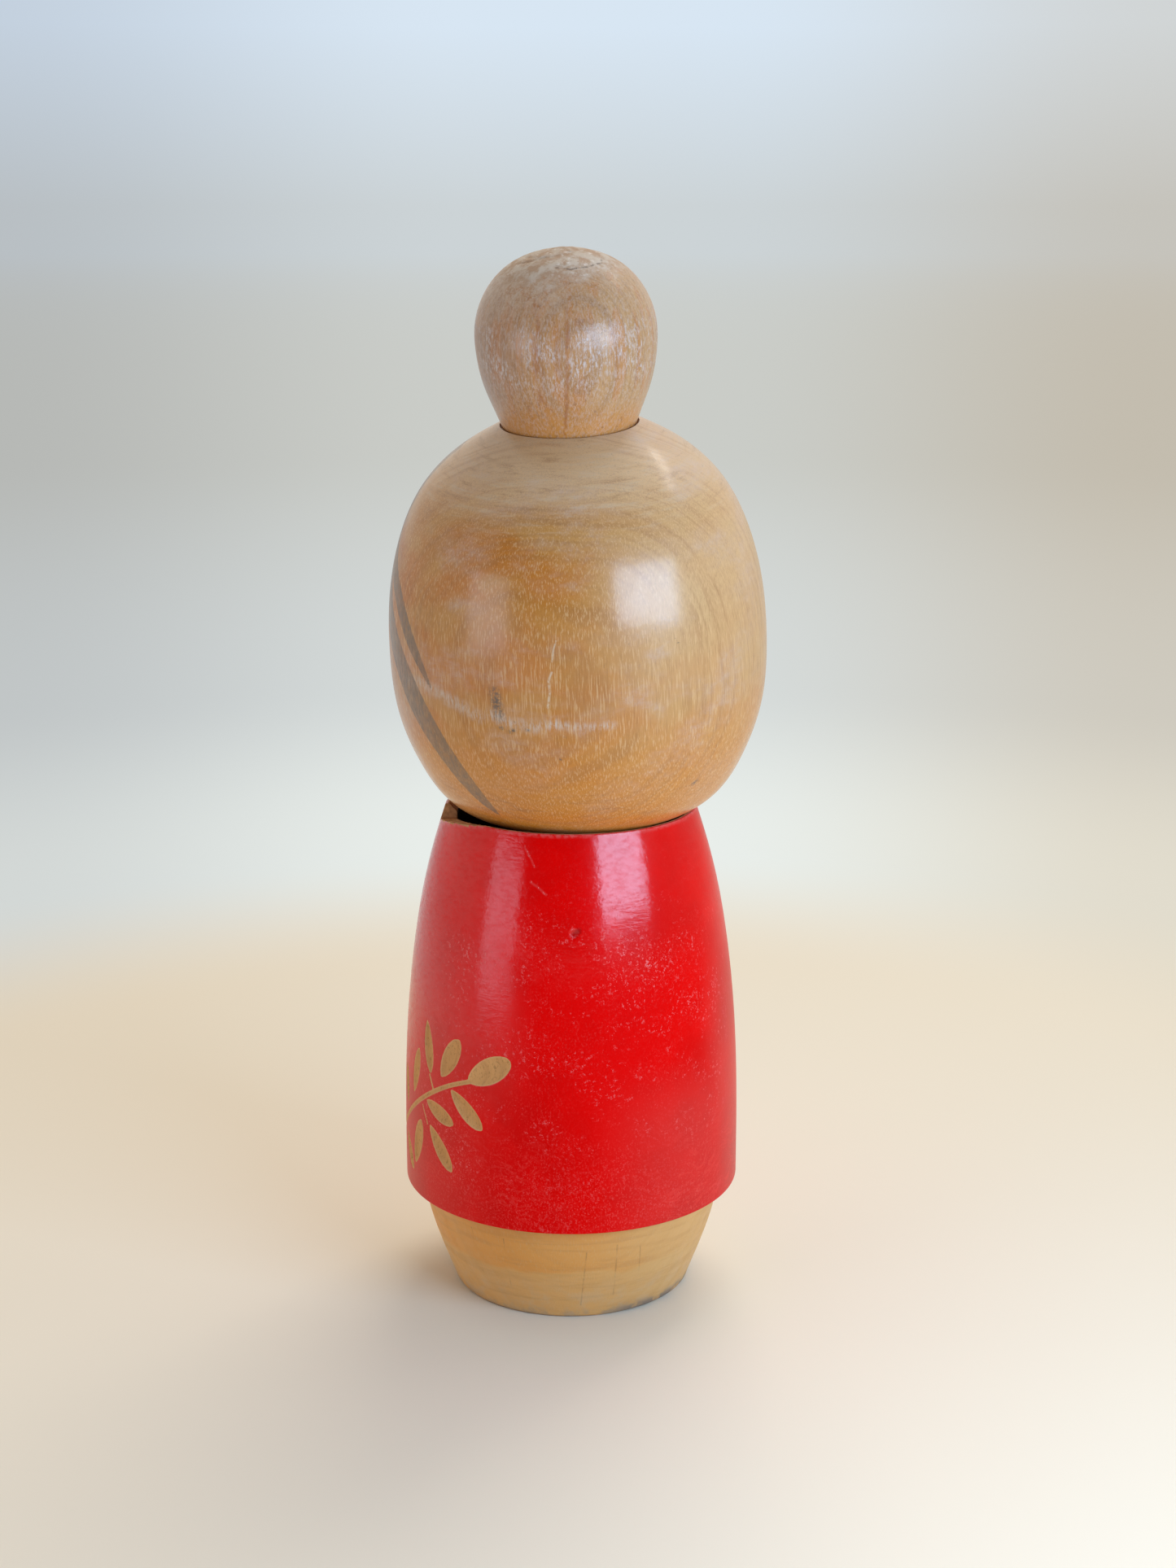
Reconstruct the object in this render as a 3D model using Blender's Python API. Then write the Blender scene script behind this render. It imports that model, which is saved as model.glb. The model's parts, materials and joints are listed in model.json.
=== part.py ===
"""Kokeshi doll, turned from wood: a red lacquered body on a plain foot, a plain head and a hair bun.

Units are metres with +Z up.  The origin is the centre of the foot's underside, and the doll faces -Y.
Directions round the doll are azimuths in degrees: 0 is the front (-Y) and 90 is +X.
"""
import math

import bmesh
import bpy
import numpy as np
from mathutils import Matrix, Vector

MM = 0.001

# Driving dimensions, in millimetres.
GAP = 0.3                   # clearance between any two pieces
SIDES = 64                  # facets round a large turned piece
PEG_SIDES = 32              # facets round a peg
CURVE_STEP = 3.0            # longest facet along a curved outline
CUT_PAST = 3.0              # how far a cutter reaches past the piece that it cuts
MERGE_DISTANCE = 0.001      # points closer than this are one point
SHARP_ANGLE = 35.0          # degrees between facets that meet in a sharp edge

FOOT_RADIUS = 18.7          # at the surface that the doll stands on
FOOT_TOP_RADIUS = 23.75
FOOT_EDGE = 0.7             # rounding of the foot's lower edge
BODY_FLOOR = 17.1           # underside of the red body
TENON_RADIUS = 12.0         # round tenon turned on top of the foot
TENON_TOP = 27.0
TENON_BEVEL = 1.0

BODY_RADIUS = 26.1
RIM_HEIGHT = 76.8           # top of the body's collar
RIM_RADIUS = 19.2
LIP_WIDTH = 0.55
BORE_RADIUS = 17.3          # recess that the head sits in
DISH_DEPTH = 1.5            # bevel between the lip and the bore
BORE_FLOOR = 70.0

NOTCH_START = 78.0          # azimuth where the collar begins to drop
NOTCH_END = 31.0            # azimuth of the upright step that ends the notch
NOTCH_DEPTH = 2.75          # height of that step
NOTCH_BEND = 0.27           # share of the drop that is curved rather than straight
NOTCH_SECTIONS = 13

HEAD_CENTRE = (-0.5, 0.9, 105.0)
HEAD_LEAN = 8.3             # degrees between the head's axis and upright
HEAD_LEAN_TOWARD = 105.0    # azimuth that the head leans toward
HEAD_BOTTOM = -31.6         # rim of the neck peg's hole, along the head's axis from its centre

SEAT_HEIGHT = 29.9          # flat seat of the bun, along the same axis
BUN_FOOT_RADIUS = 9.7
SEAT_RADIUS = 10.2
BUN_TOP = 55.7
BUN_PEG_RADIUS = 3.0
BUN_PEG_BOTTOM = 22.0
BUN_PEG_TOP = 38.0
NECK_PEG_RADIUS = 4.5
NECK_PEG_BOTTOM = -49.0     # along the head's axis, inside the body
NECK_PEG_TOP = -19.0
PEG_BEVEL = 0.5

# Colour and roughness of each surface.
RED_LACQUER = ((0.58, 0.006, 0.004), 0.25)
PALE_WOOD = ((0.50, 0.29, 0.14), 0.45)
BUN_WOOD = ((0.36, 0.22, 0.12), 0.55)
PEG_WOOD = ((0.55, 0.38, 0.22), 0.60)

# Outlines as (radius, height) points that a smooth curve runs through.
FOOT_SIDE = [(FOOT_RADIUS, FOOT_EDGE), (20.35, 5.0), (22.3, 10.8), (FOOT_TOP_RADIUS, BODY_FLOOR - GAP)]
BODY_SIDE = [(BODY_RADIUS, BODY_FLOOR), (26.1, 25.0), (25.65, 41.0), (24.0, 57.0), (22.5, 65.2), (20.35, 73.2),
             (RIM_RADIUS, RIM_HEIGHT)]
HEAD_LOWER = [(7.5, -31.2), (15.8, -28.2), (20.4, -26.0), (25.0, -20.0), (27.7, -12.0), (28.4, -3.0)]
HEAD_UPPER = [(27.8, 6.0), (25.9, 14.0), (22.5, 21.0), (17.0, 26.5), (SEAT_RADIUS, 30.4)]
BUN_SIDE = [(BUN_FOOT_RADIUS, SEAT_HEIGHT), (10.7, 32.5), (12.2, 36.5), (13.05, 41.0), (13.05, 45.0), (12.0, 48.5),
            (9.9, 51.6), (5.8, 54.4), (0.0, BUN_TOP)]


def clear_scene():
    """Remove every object, so that the script can be run again in the same file."""
    for item in list(bpy.data.objects):
        bpy.data.objects.remove(item, do_unlink=True)


def compass(azimuth):
    """The horizontal unit vector at an azimuth, where 0 is the front of the doll."""
    angle = math.radians(azimuth)
    return Vector((math.sin(angle), -math.cos(angle), 0.0))


def natural_curve(knots, values, samples):
    """Values of a natural cubic curve through the knots, at the sample parameters."""
    count = len(knots)
    step = np.diff(knots)
    system = np.eye(count)
    right = np.zeros((count, values.shape[1]))
    for i in range(1, count - 1):
        system[i, i - 1:i + 2] = step[i - 1], 2 * (step[i - 1] + step[i]), step[i]
        right[i] = 6 * ((values[i + 1] - values[i]) / step[i] - (values[i] - values[i - 1]) / step[i - 1])
    bend = np.linalg.solve(system, right)
    span = np.clip(np.searchsorted(knots, samples, side="right") - 1, 0, count - 2)
    after = (samples - knots[span])[:, None]
    before = (knots[span + 1] - samples)[:, None]
    width = step[span][:, None]
    cubic = (bend[span] * before ** 3 + bend[span + 1] * after ** 3) / (6 * width)
    line_start = (values[span] / width - bend[span] * width / 6) * before
    line_end = (values[span + 1] / width - bend[span + 1] * width / 6) * after
    return cubic + line_start + line_end


def smooth(points, step=CURVE_STEP):
    """Points along a smooth curve through the given (radius, height) points."""
    values = np.array(points, float)
    knots = np.concatenate([[0.0], np.cumsum(np.linalg.norm(np.diff(values, axis=0), axis=1))])
    count = max(2, math.ceil(knots[-1] / step)) + 1
    return [tuple(point) for point in natural_curve(knots, values, np.linspace(0.0, knots[-1], count))]


def pole_curve(points):
    """A smooth curve that crosses the axis squarely at its first point."""
    mirrored = [(-radius, height) for radius, height in points[:0:-1]]
    curve = smooth(mirrored + points)
    half = [point for point in curve if point[0] > MERGE_DISTANCE]
    return [points[0]] + half


def rounded_corner(centre, radius, start, end, steps=4):
    """Points of an arc in the outline, from one angle to another, in degrees."""
    angles = np.linspace(math.radians(start), math.radians(end), steps + 1)
    return [(centre[0] + radius * math.cos(a), centre[1] + radius * math.sin(a)) for a in angles]


def wood_material(name, colour, roughness):
    """A plain surface of one colour."""
    material = bpy.data.materials.new(name)
    material.use_nodes = True
    shader = material.node_tree.nodes["Principled BSDF"]
    shader.inputs["Base Color"].default_value = (*colour, 1.0)
    shader.inputs["Roughness"].default_value = roughness
    shader.inputs["Metallic"].default_value = 0.0
    return material


def add_object(name, mesh, material=None, parent=None):
    """Link a mesh as a named object, shaded smooth except at its sharp edges."""
    mesh.shade_smooth()
    mesh.set_sharp_from_angle(angle=math.radians(SHARP_ANGLE))
    item = bpy.data.objects.new(name, mesh)
    bpy.context.scene.collection.objects.link(item)
    if material:
        mesh.materials.append(material)
    if parent:
        item.parent = parent
    return item


def turned(name, outline, material=None, parent=None, sides=SIDES):
    """Spin an outline, which starts and ends on the axis, into a closed solid."""
    form = bmesh.new()
    rows = [form.verts.new((radius * MM, 0.0, height * MM)) for radius, height in outline]
    edges = [form.edges.new(pair) for pair in zip(rows, rows[1:])]
    bmesh.ops.spin(form, geom=rows + edges, cent=(0, 0, 0), axis=(0, 0, 1), angle=2 * math.pi, steps=sides,
                   use_merge=True)
    bmesh.ops.remove_doubles(form, verts=form.verts, dist=MERGE_DISTANCE * MM)
    bmesh.ops.recalc_face_normals(form, faces=form.faces)
    mesh = bpy.data.meshes.new(name)
    form.to_mesh(mesh)
    form.free()
    return add_object(name, mesh, material, parent)


def peg(name, radius, bottom, top, material, parent):
    """A dowel with bevelled ends, along its parent's Z axis."""
    inner = radius - PEG_BEVEL
    outline = [(0.0, bottom), (inner, bottom), (radius, bottom + PEG_BEVEL), (radius, top - PEG_BEVEL),
               (inner, top), (0.0, top)]
    return turned(name, outline, material, parent, PEG_SIDES)


def cut(target, cutter):
    """Subtract a cutter from a piece, and keep the cutter only as a guide."""
    cutter.hide_render = True
    cutter.display_type = "WIRE"
    modifier = target.modifiers.new(cutter.name, "BOOLEAN")
    modifier.operation = "DIFFERENCE"
    modifier.solver = "EXACT"
    modifier.object = cutter


def notch_depth(azimuth):
    """How far the collar has dropped at an azimuth inside the notch, in millimetres."""
    along = (NOTCH_START - azimuth) / (NOTCH_START - NOTCH_END)
    return NOTCH_DEPTH * ((1 - NOTCH_BEND) * along + NOTCH_BEND * along ** 2)


def notch_cutter():
    """A curved wedge over the collar, whose sloping floor ends in an upright step."""
    inner = BORE_RADIUS - CUT_PAST
    outer = RIM_RADIUS + CUT_PAST
    above = RIM_HEIGHT + CUT_PAST
    form = bmesh.new()
    sections = []
    for azimuth in np.linspace(NOTCH_START, NOTCH_END, NOTCH_SECTIONS):
        floor = RIM_HEIGHT - notch_depth(azimuth)
        corners = [(inner, floor), (outer, floor), (outer, above), (inner, above)]
        sections.append([form.verts.new((compass(azimuth) * r + Vector((0, 0, z))) * MM) for r, z in corners])
    for one, two in zip(sections, sections[1:]):
        for i in range(4):
            j = (i + 1) % 4
            form.faces.new((one[i], one[j], two[j], two[i]))
    form.faces.new(sections[0])
    form.faces.new(sections[-1])
    bmesh.ops.recalc_face_normals(form, faces=form.faces)
    mesh = bpy.data.meshes.new("collar_notch")
    form.to_mesh(mesh)
    form.free()
    return add_object("collar_notch", mesh)


def head_axis():
    """The empty that carries the head, with its Z axis along the axis that the head turns on."""
    tilt = Matrix.Rotation(math.radians(HEAD_LEAN), 4, Vector((0, 0, 1)).cross(compass(HEAD_LEAN_TOWARD)))
    axis = bpy.data.objects.new("head_axis", None)
    bpy.context.scene.collection.objects.link(axis)
    axis.matrix_world = Matrix.Translation(Vector(HEAD_CENTRE) * MM) @ tilt
    return axis


def make_foot(wood):
    """The plain foot, with the round tenon that holds the body."""
    edge = rounded_corner((FOOT_RADIUS - FOOT_EDGE, FOOT_EDGE), FOOT_EDGE, -90, 0)
    top = BODY_FLOOR - GAP
    tenon = [(TENON_RADIUS, top), (TENON_RADIUS, TENON_TOP - TENON_BEVEL),
             (TENON_RADIUS - TENON_BEVEL, TENON_TOP), (0.0, TENON_TOP)]
    return turned("foot", [(0.0, 0.0)] + edge[:-1] + smooth(FOOT_SIDE) + tenon, wood)


def make_body(lacquer, axis):
    """The red body, bored for the foot's tenon and for the head's peg, with a notched collar."""
    socket_radius = TENON_RADIUS + GAP
    socket_top = TENON_TOP + GAP
    socket = [(0.0, socket_top), (socket_radius, socket_top), (socket_radius, BODY_FLOOR)]
    recess = [(RIM_RADIUS - LIP_WIDTH, RIM_HEIGHT), (BORE_RADIUS, RIM_HEIGHT - DISH_DEPTH),
              (BORE_RADIUS, BORE_FLOOR), (0.0, BORE_FLOOR)]
    body = turned("body", socket + smooth(BODY_SIDE) + recess, lacquer)
    cut(body, notch_cutter())
    radius = NECK_PEG_RADIUS + GAP
    bottom = NECK_PEG_BOTTOM - GAP
    top = BORE_FLOOR + CUT_PAST - HEAD_CENTRE[2]
    bore = [(0.0, bottom), (radius, bottom), (radius, top), (0.0, top)]
    cut(body, turned("neck_socket", bore, None, axis, PEG_SIDES))
    return body


def make_head(wood, axis):
    """The head, with the neck peg's hole below and the bun's seat and peg hole above."""
    neck = NECK_PEG_RADIUS + GAP
    neck_top = NECK_PEG_TOP + GAP
    seat = SEAT_HEIGHT - GAP
    hole = BUN_PEG_RADIUS + GAP
    hole_bottom = BUN_PEG_BOTTOM - GAP
    below = [(0.0, neck_top), (neck, neck_top), (neck, HEAD_BOTTOM)]
    above = [(SEAT_RADIUS, seat), (hole, seat), (hole, hole_bottom), (0.0, hole_bottom)]
    return turned("head", below + smooth(HEAD_LOWER + HEAD_UPPER) + above, wood, axis)


def make_bun(wood, axis):
    """The bun, with its peg hole below."""
    hole = BUN_PEG_RADIUS + GAP
    hole_top = BUN_PEG_TOP + GAP
    below = [(0.0, hole_top), (hole, hole_top), (hole, SEAT_HEIGHT)]
    side = pole_curve(BUN_SIDE[::-1])[::-1]
    return turned("bun", below + side, wood, axis)


def main():
    clear_scene()
    lacquer = wood_material("red_lacquer", *RED_LACQUER)
    pale_wood = wood_material("pale_wood", *PALE_WOOD)
    bun_wood = wood_material("bun_wood", *BUN_WOOD)
    peg_wood = wood_material("peg_wood", *PEG_WOOD)
    axis = head_axis()
    make_foot(pale_wood)
    make_body(lacquer, axis)
    make_head(pale_wood, axis)
    make_bun(bun_wood, axis)
    peg("neck_peg", NECK_PEG_RADIUS, NECK_PEG_BOTTOM, NECK_PEG_TOP, peg_wood, axis)
    peg("bun_peg", BUN_PEG_RADIUS, BUN_PEG_BOTTOM, BUN_PEG_TOP, peg_wood, axis)
    bpy.context.view_layer.update()


main()
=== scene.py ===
"""Looks of the kokeshi doll: fine turned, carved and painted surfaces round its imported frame.

Lengths in the tables below are millimetres in the frame of the part, which Blender holds in metres.
Directions round a piece are azimuths in degrees: 0 is the doll's front (-Y) and 90 is +X.
A piece of the head is described along the head's own leaning axis, from the head's centre.
"""
import json
import math

import bpy
import numpy as np
from mathutils import Matrix, Vector


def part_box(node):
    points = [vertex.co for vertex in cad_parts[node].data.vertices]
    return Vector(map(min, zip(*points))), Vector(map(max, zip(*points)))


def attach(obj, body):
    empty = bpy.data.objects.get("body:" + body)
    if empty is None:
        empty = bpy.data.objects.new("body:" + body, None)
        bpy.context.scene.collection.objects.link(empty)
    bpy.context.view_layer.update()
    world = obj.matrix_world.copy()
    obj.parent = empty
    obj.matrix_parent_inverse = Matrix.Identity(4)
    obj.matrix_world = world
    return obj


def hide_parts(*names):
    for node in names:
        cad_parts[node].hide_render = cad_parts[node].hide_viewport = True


MM = 0.001

# The turned outlines, as the frame has them. A side is a list of (radius, height) points.
GAP = 0.3
TENON_RADIUS = 12.0
TENON_BEVEL = 1.0
RIM_RADIUS = 19.2
RIM_INSET = 0.12
RIM_ROUND = 0.16
LIP_WIDTH = 0.55
BORE_RADIUS = 17.3
DISH_DEPTH = 1.5
BORE_FLOOR = 70.0
BODY_ROUND = 0.25
SIDE_MARGINS = (0.3, 0.2)
NOTCH_START = 78.0
NOTCH_END = 31.0
NOTCH_DEPTH = 2.4
NOTCH_CURVE = 0.27
NOTCH_STEP = 0.02
NECK_PEG_RADIUS = 4.5
NECK_PEG_BOTTOM = -49.0
NECK_PEG_TOP = -19.0
SOCKET_MOUTH = -32.5
HEAD_UNDERSIDE = -31.6
BUN_PEG_RADIUS = 3.0
BUN_PEG_BOTTOM = 22.0
BUN_PEG_TOP = 38.0
SEAT_HEIGHT = 29.9
SEAT_RADIUS = 10.2
SEAT_PRESS = 0.18
BUN_ROUND = 0.1
CROWN_HEIGHT = 53.0
CRACK_DEPTH = 0.12
CRACK_SLOPE = 0.3
FOOT_EDGE = 0.7
BODY_SIDE = [(26.1, 17.1), (26.1, 25.0), (25.65, 41.0), (24.0, 57.0), (22.5, 65.2), (20.35, 73.2),
             (19.2, 76.8)]
FOOT_SIDE = [(18.7, 0.7), (20.35, 5.0), (22.3, 10.8), (23.75, 16.8)]
HEAD_SIDE = [(7.5, -31.2), (15.8, -28.2), (20.65, -26.1), (25.0, -20.0), (27.7, -12.0), (28.4, -3.0),
             (27.8, 6), (25.9, 14), (22.5, 21), (17, 26.5), (10.2, 30.4)]
BUN_SIDE = [(9.7, 29.9), (10.7, 32.5), (12.2, 36.5), (13.05, 41.0), (13.05, 45.0), (12.0, 48.5), (9.9, 51.6),
            (5.8, 54.4), (0, 55.7)]

# The carved spray: leaves as (start, end, half width), stems as (azimuth, height, half width) points.
LEAF_DEPTH = 0.45
STEM_DEPTH = 0.2
STEM_SLOPE = 0.45
LEAVES = [
    ((60.6, 46.2), (64.3, 38.5), 1.25),
    ((51.6, 33.5), (55.3, 40.9), 1.25),
    ((70.7, 38.7), (78.7, 45), 1.6),
    ((83.6, 39.4), (98.7, 43.4), 1.95),
    ((75.8, 37.1), (88.9, 32.3), 1.4),
    ((62.2, 33.7), (76.6, 31.8), 1.3),
    ((64.3, 30), (75.9, 24.2), 1.4),
    ((52.6, 22.1), (58, 29.7), 1.5),
    ((43.7, 30.5), (40.7, 36.2), 1.2),
    ((34, 27), (30, 33), 1.3),
    ((42, 25.5), (50, 20.6), 1.2),
    ((-19, 43.5), (-23.5, 50.5), 1.7),
    ((-16.5, 36), (-11, 41.5), 1.4),
    ((-19, 36.8), (-27.5, 41), 1.4),
    ((-9, 31.5), (-1, 37), 1.4),
    ((-12, 30), (-22, 33), 1.3),
    ((0.5, 26.5), (9, 31.5), 1.3),
    ((-3.5, 24.5), (-13, 25.5), 1.3),
]
STEMS = [
    [(2, 19.6, 0.45), (15, 20.6, 0.42), (27, 23, 0.4), (40.6, 27.4, 0.38), (52.3, 31.5, 0.38),
     (65.8, 35.5, 0.38), (76.4, 38, 0.36), (84.5, 39.4, 0.36)],
    [(63.8, 38, 0.2), (66.1, 36.1, 0.22)],
    [(59.2, 32.5, 0.16), (62.6, 30, 0.18)],
    [(2, 19.6, 0.42), (-3, 25, 0.38), (-9, 31, 0.36), (-15, 37.5, 0.34), (-19.5, 44, 0.32)],
]
CARVED_BAND = (18.0, 52.0)
CARVED_ARC = (-32.0, 124.0)
COLUMN_STEP = 1.5
FINE_STEP = 0.4

# The painted hair, brows, eyes, nose and mouth, as brush strokes of (azimuth, height, half width).
SIDE_LOCKS = [
    [(20, 16.5, 1.2), (30, 11, 2.2), (38.5, 5.6, 2.5), (47.8, 0.85, 2.5), (58.3, -4.2, 2.5),
     (65.4, -8.1, 2.4), (73.2, -12.75, 2), (79.8, -17.6, 1.6), (85.3, -21.3, 0.8), (88.9, -23.1, 0.1)],
    [(24, 18.5, 0.9), (33, 14, 1.4), (41.5, 10.7, 1.5), (49.9, 8, 1.5), (60.3, 3.1, 1.3),
     (67, -0.45, 0.8), (72.6, -4, 0.05)],
]
FRINGE_COUNT = 9
FRINGE_SPREAD = 34.0
BROW = [(13.0, 5.2, 0.1), (18.0, 6.3, 0.3), (24.0, 6.3, 0.35), (30.0, 5.0, 0.1)]
EYE = [(12.5, -3.0, 0.12), (17.0, -1.9, 0.38), (22.5, -1.9, 0.42), (28.5, -3.6, 0.12)]
NOSE = [(-1.6, -7.6, 0.1), (0.0, -8.1, 0.26), (1.6, -7.6, 0.1)]
MOUTH = [(-3.0, -12.2, 0.2), (0.0, -12.5, 0.75), (3.0, -12.2, 0.2)]

# Wear: each mark is its (azimuth, height) points, its half width and its softness.
HEAD_SCRATCHES = [
    ([(114, 6.1), (113.2, 4.9), (112.7, 3.2)], 0.06, 0.14),
    ([(112.5, 1.6), (111.5, 0.4), (111.8, -1.2), (111, -3.5)], 0.08, 0.2),
]
HEAD_RUBS = [
    ([(94, -5.2), (100.3, -6.3), (107, -6.6), (112.4, -6)], 0.1, 1.5),
    ([(112.4, -6), (121, -6.7), (129.1, -6.5)], 0, 1.1),
    ([(56.7, -3.9), (67, -3.2), (74.7, -3.5), (81.2, -4.3), (89.8, -5.8)], 0.2, 1.5),
]
HEAD_STAINS = [
    ([(95.2, -1.8), (96.3, -5.4)], 0.3, 1.2),
    ([(96.6, -7), (96.9, -7.1)], 0.2, 0.3),
    ([(99.6, -7.5), (100.4, -7.3)], 0.2, 0.35),
    ([(104.3, -7), (105, -7.1)], 0.1, 0.3),
    ([(113.7, -11.5), (114, -11.6)], 0.05, 0.2),
    ([(159.1, -19.2), (160.6, -18.9)], 0.15, 0.4),
]
BUN_STREAKS = [
    ([(100.1, 49.5), (102, 45.7), (101.5, 40), (102.5, 36.5)], 0.2, 0.8),
    ([(121.5, 49), (121.2, 44.6), (120.3, 38.9), (118.5, 35), (116.8, 31)], 0.1, 0.45),
]
BUN_CRACKS = [
    ([(111.7, 53.9), (128.4, 53.65), (149.5, 53.75), (172, 53.9), (186, 54.3)], 0.12, 0.16),
    ([(52.6, 53.9), (68.1, 54.4), (84, 54.9)], 0.12, 0.16),
    ([(250, 53.6), (275, 54), (292, 54.8)], 0.12, 0.16),
    ([(10, 54.4), (150, 55.3)], 0.08, 0.14),
]
FOOT_LINES = [
    ([(125.7, 12.6), (124.8, 6.9), (124.1, 2.4)], 0.05, 0.14),
    ([(137.4, 13.5), (137.9, 8.8), (138.5, 3.9)], 0.05, 0.16),
    ([(147.2, 12.6), (148.6, 7.9)], 0.02, 0.14),
    ([(93.5, 14), (93, 5)], 0.02, 0.14),
    ([(79, 14.5), (79.4, 6.5)], 0.02, 0.12),
    ([(20, 15), (19.4, 4)], 0.04, 0.14),
    ([(-38, 12), (-38.5, 1.5)], 0.03, 0.14),
    ([(-101, 15.5), (-100.2, 6)], 0.04, 0.16),
    ([(203, 13), (202.2, 3)], 0.05, 0.14),
    ([(228, 15.5), (227.6, 8)], 0.03, 0.14),
]
BODY_CHIPS = [
    ([(100.5, 74.6), (103.5, 73.2), (105, 72.2)], 0.05, 0.2),
    ([(104, 70), (107, 69.4), (110.3, 68.4)], 0.05, 0.25),
]
BODY_WORN = [
    # The first patch, under the window's reflection, is partly worn lacquer and partly painted highlight
    # trailing below that reflection.
    ([(137, 60.5), (152, 56.5)], 1.5, 5),
    ([(74, 58.5), (97, 56.5)], 1, 4),
    ([(166, 50.5), (176, 48.5)], 0.6, 3),
    ([(66, 33), (80, 26)], 1.5, 5),
]
DENT = (121.1, 62.8)
DENT_RADIUS = 0.85
DENT_DEPTH = 0.14
DENT_BAND = 1.5
DENT_MARK = [([DENT, (DENT[0] + 1.6, DENT[1] + 0.5)], 0.4, 0.35)]

# Bands of heights in which wear and painted side reflection on the body come in, and the azimuths of the lit
# side, towards which painted light and shade are laid.
LOWER_BODY = (38.0, 20.0)
LOW_FLANK = (44.0, 32.0)
LIT_SIDE = 205.0
HEAD_LIT_SIDE = 200.0

# The depth of a place outside every cut and stroke, and a degree's width on the doll's side.
OUTSIDE = -5.0
DEGREE_WIDTH = 0.45

# The camera stands back from the doll's axis and looks down at it.
CAMERA_AZIMUTH = 120.0
CAMERA_DISTANCE = 350.4
CAMERA_HEIGHT = 165.66
CAMERA_PITCH = 13.78
CAMERA_YAW = 0.43
SENSOR = 24.0
LENS = 36.07


def compass(azimuth):
    """The horizontal unit vector at an azimuth, where 0 is the front of the doll."""
    angle = math.radians(azimuth)
    return Vector((math.sin(angle), -math.cos(angle), 0))


# ---- outlines and grids ----

def natural_curve(knots, values, samples):
    """Values of a natural cubic curve through the knots, at the sample parameters."""
    count = len(knots)
    step = np.diff(knots)
    system = np.eye(count)
    right = np.zeros((count, values.shape[1]))
    for i in range(1, count - 1):
        system[i, i - 1:i + 2] = step[i - 1], 2 * (step[i - 1] + step[i]), step[i]
        right[i] = 6 * ((values[i + 1] - values[i]) / step[i] - (values[i] - values[i - 1]) / step[i - 1])
    bend = np.linalg.solve(system, right)
    span = np.clip(np.searchsorted(knots, samples, side="right") - 1, 0, count - 2)
    after = (samples - knots[span])[:, None]
    before = (knots[span + 1] - samples)[:, None]
    width = step[span][:, None]
    cubic = (bend[span] * before ** 3 + bend[span + 1] * after ** 3) / (6 * width)
    line_start = (values[span] / width - bend[span] * width / 6) * before
    line_end = (values[span + 1] / width - bend[span + 1] * width / 6) * after
    return cubic + line_start + line_end


def smooth(points, step):
    """Points along a smooth curve through the given points, about one step apart."""
    values = np.array(points, float)
    knots = np.concatenate([[0], np.cumsum(np.linalg.norm(np.diff(values, axis=0), axis=1))])
    count = max(2, math.ceil(knots[-1] / step)) + 1
    return natural_curve(knots, values, np.linspace(0, knots[-1], count))


def straight(start, end, step):
    """Points along a straight stretch of outline, without its last point."""
    start, end = np.array(start, float), np.array(end, float)
    count = max(1, math.ceil(np.linalg.norm(end - start) / step))
    return start + (end - start) * np.linspace(0, 1, count, endpoint=False)[:, None]


def chain(*stops):
    """Straight stretches of outline through points, with the step along each one between its ends."""
    stretches = zip(stops[::2], stops[1::2], stops[2::2])
    return np.concatenate([straight(start, end, step) for start, step, end in stretches])


def arc(centre, radius, start, end, steps=5):
    """Points of a rounded corner, from one angle to another, in degrees."""
    angles = np.radians(np.linspace(start, end, steps + 1))
    return np.stack([centre[0] + radius * np.cos(angles), centre[1] + radius * np.sin(angles)], axis=1)


def columns(step, fine_step, low, high):
    """Azimuths right round a piece, closer together between two of them."""
    fine = np.arange(low, high, fine_step)
    coarse = np.arange(high, low + 360, step)
    return np.concatenate([fine, coarse])


def add_object(name, data):
    """A new object in the scene."""
    item = bpy.data.objects.new(name, data)
    bpy.context.scene.collection.objects.link(item)
    return item


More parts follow.
